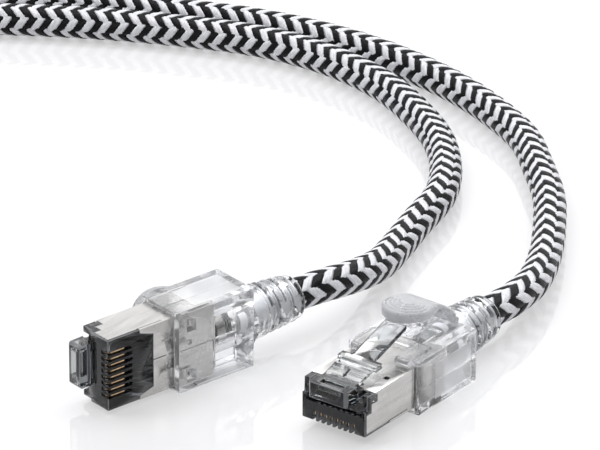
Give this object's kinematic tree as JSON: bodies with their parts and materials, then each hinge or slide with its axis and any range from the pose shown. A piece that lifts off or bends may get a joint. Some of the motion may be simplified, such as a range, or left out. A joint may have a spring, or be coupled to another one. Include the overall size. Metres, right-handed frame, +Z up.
{
  "type": "ethernet patch cable",
  "caption": "Shielded modular patch cable: braided round cord in a tied coil, a metal-shelled plug with a clear snagless boot on each end, and a sprung latch under a thumb guard.",
  "frame": {"origin": "on the underside of plug B's boot, on its middle plane, 5 mm behind the boot's front face, where the boot rests on the surface", "axes": "+X the way plug B is inserted, +Z up from the surface the cable lies on, +Y across plug B's contacts towards its first side"},
  "size_m": [0.135, 0.2214, 0.0149],
  "materials": {
    "smoke_plastic": "glossy translucent smoke polycarbonate",
    "plated_steel": "bright nickel plate",
    "gold": "gold flash on phosphor bronze",
    "clear_bar": "clear polycarbonate",
    "wire_orange": "polyethylene insulation",
    "wire_green": "polyethylene insulation",
    "wire_blue": "polyethylene insulation",
    "wire_brown": "polyethylene insulation",
    "grey_jacket": "satin PVC jacket",
    "metal_braid": "tinned copper braid, dull",
    "clear_plastic": "clear moulded polycarbonate, lightly frosted",
    "clear_soft": "clear flexible moulding, glossy",
    "frosted_plastic": "clear moulding with a frosted skin",
    "braid": "black and white plaited monofilament sleeve",
    "tie_fabric": "black hook-and-loop tape"
  },
  "bodies": {
    "cable_body": {"plug_housing_a": "smoke_plastic", "shield_shell_a": "plated_steel", "contact_1_a": "gold", "contact_2_a": "gold", "contact_3_a": "gold", "contact_4_a": "gold", "contact_5_a": "gold", "contact_6_a": "gold", "contact_7_a": "gold", "contact_8_a": "gold", "load_bar_a": "clear_bar", "wire_pair_orange_a": "wire_orange", "wire_pair_green_a": "wire_green", "wire_pair_blue_a": "wire_blue", "wire_pair_brown_a": "wire_brown", "cable_jacket_a": "grey_jacket", "shield_braid_a": "metal_braid", "cable_clamp_a": "plated_steel", "boot_lower_a": "clear_plastic", "boot_upper_a": "clear_plastic", "strain_relief_a": "clear_soft", "plug_housing_b": "smoke_plastic", "shield_shell_b": "plated_steel", "contact_1_b": "gold", "contact_2_b": "gold", "contact_3_b": "gold", "contact_4_b": "gold", "contact_5_b": "gold", "contact_6_b": "gold", "contact_7_b": "gold", "contact_8_b": "gold", "load_bar_b": "clear_bar", "wire_pair_orange_b": "wire_orange", "wire_pair_green_b": "wire_green", "wire_pair_blue_b": "wire_blue", "wire_pair_brown_b": "wire_brown", "cable_jacket_b": "grey_jacket", "shield_braid_b": "metal_braid", "cable_clamp_b": "plated_steel", "boot_lower_b": "clear_plastic", "boot_upper_b": "clear_plastic", "strain_relief_b": "clear_soft", "cable_a": "braid", "cable_coil": "braid", "cable_b": "braid", "coil_tie": "tie_fabric"},
    "latch_a": {"latch_a": "smoke_plastic"},
    "guard_a": {"latch_guard_a": "frosted_plastic"},
    "latch_b": {"latch_b": "smoke_plastic"},
    "guard_b": {"latch_guard_b": "frosted_plastic"}
  },
  "joints": [
    {"name": "guard_press_a", "type": "hinge", "parent": "cable_body", "child": "guard_a", "pos_m": [0.00512, -0.0319, 0.00655], "axis": [0, 0, 1], "range_deg": [0, 16], "stiffness_Nm_per_rad": 0.05},
    {"name": "latch_press_a", "type": "hinge", "parent": "cable_body", "child": "latch_a", "pos_m": [0.02985, -0.03685, 0.00655], "axis": [0, 0, -1], "range_deg": [0, 12.5], "stiffness_Nm_per_rad": 0.001},
    {"name": "guard_press_b", "type": "hinge", "parent": "cable_body", "child": "guard_b", "pos_m": [-0.009, 0, 0.00925], "axis": [0, 1, 0], "range_deg": [0, 16], "stiffness_Nm_per_rad": 0.05},
    {"name": "latch_press_b", "type": "hinge", "parent": "cable_body", "child": "latch_b", "pos_m": [0.0162, 0, 0.00825], "axis": [0, -1, 0], "range_deg": [0, 12.5], "stiffness_Nm_per_rad": 0.001}
  ],
  "couplings": [
    {"joint": "latch_press_a", "follows": "guard_press_a", "ratio": 0.75},
    {"joint": "latch_press_b", "follows": "guard_press_b", "ratio": 0.75}
  ]
}
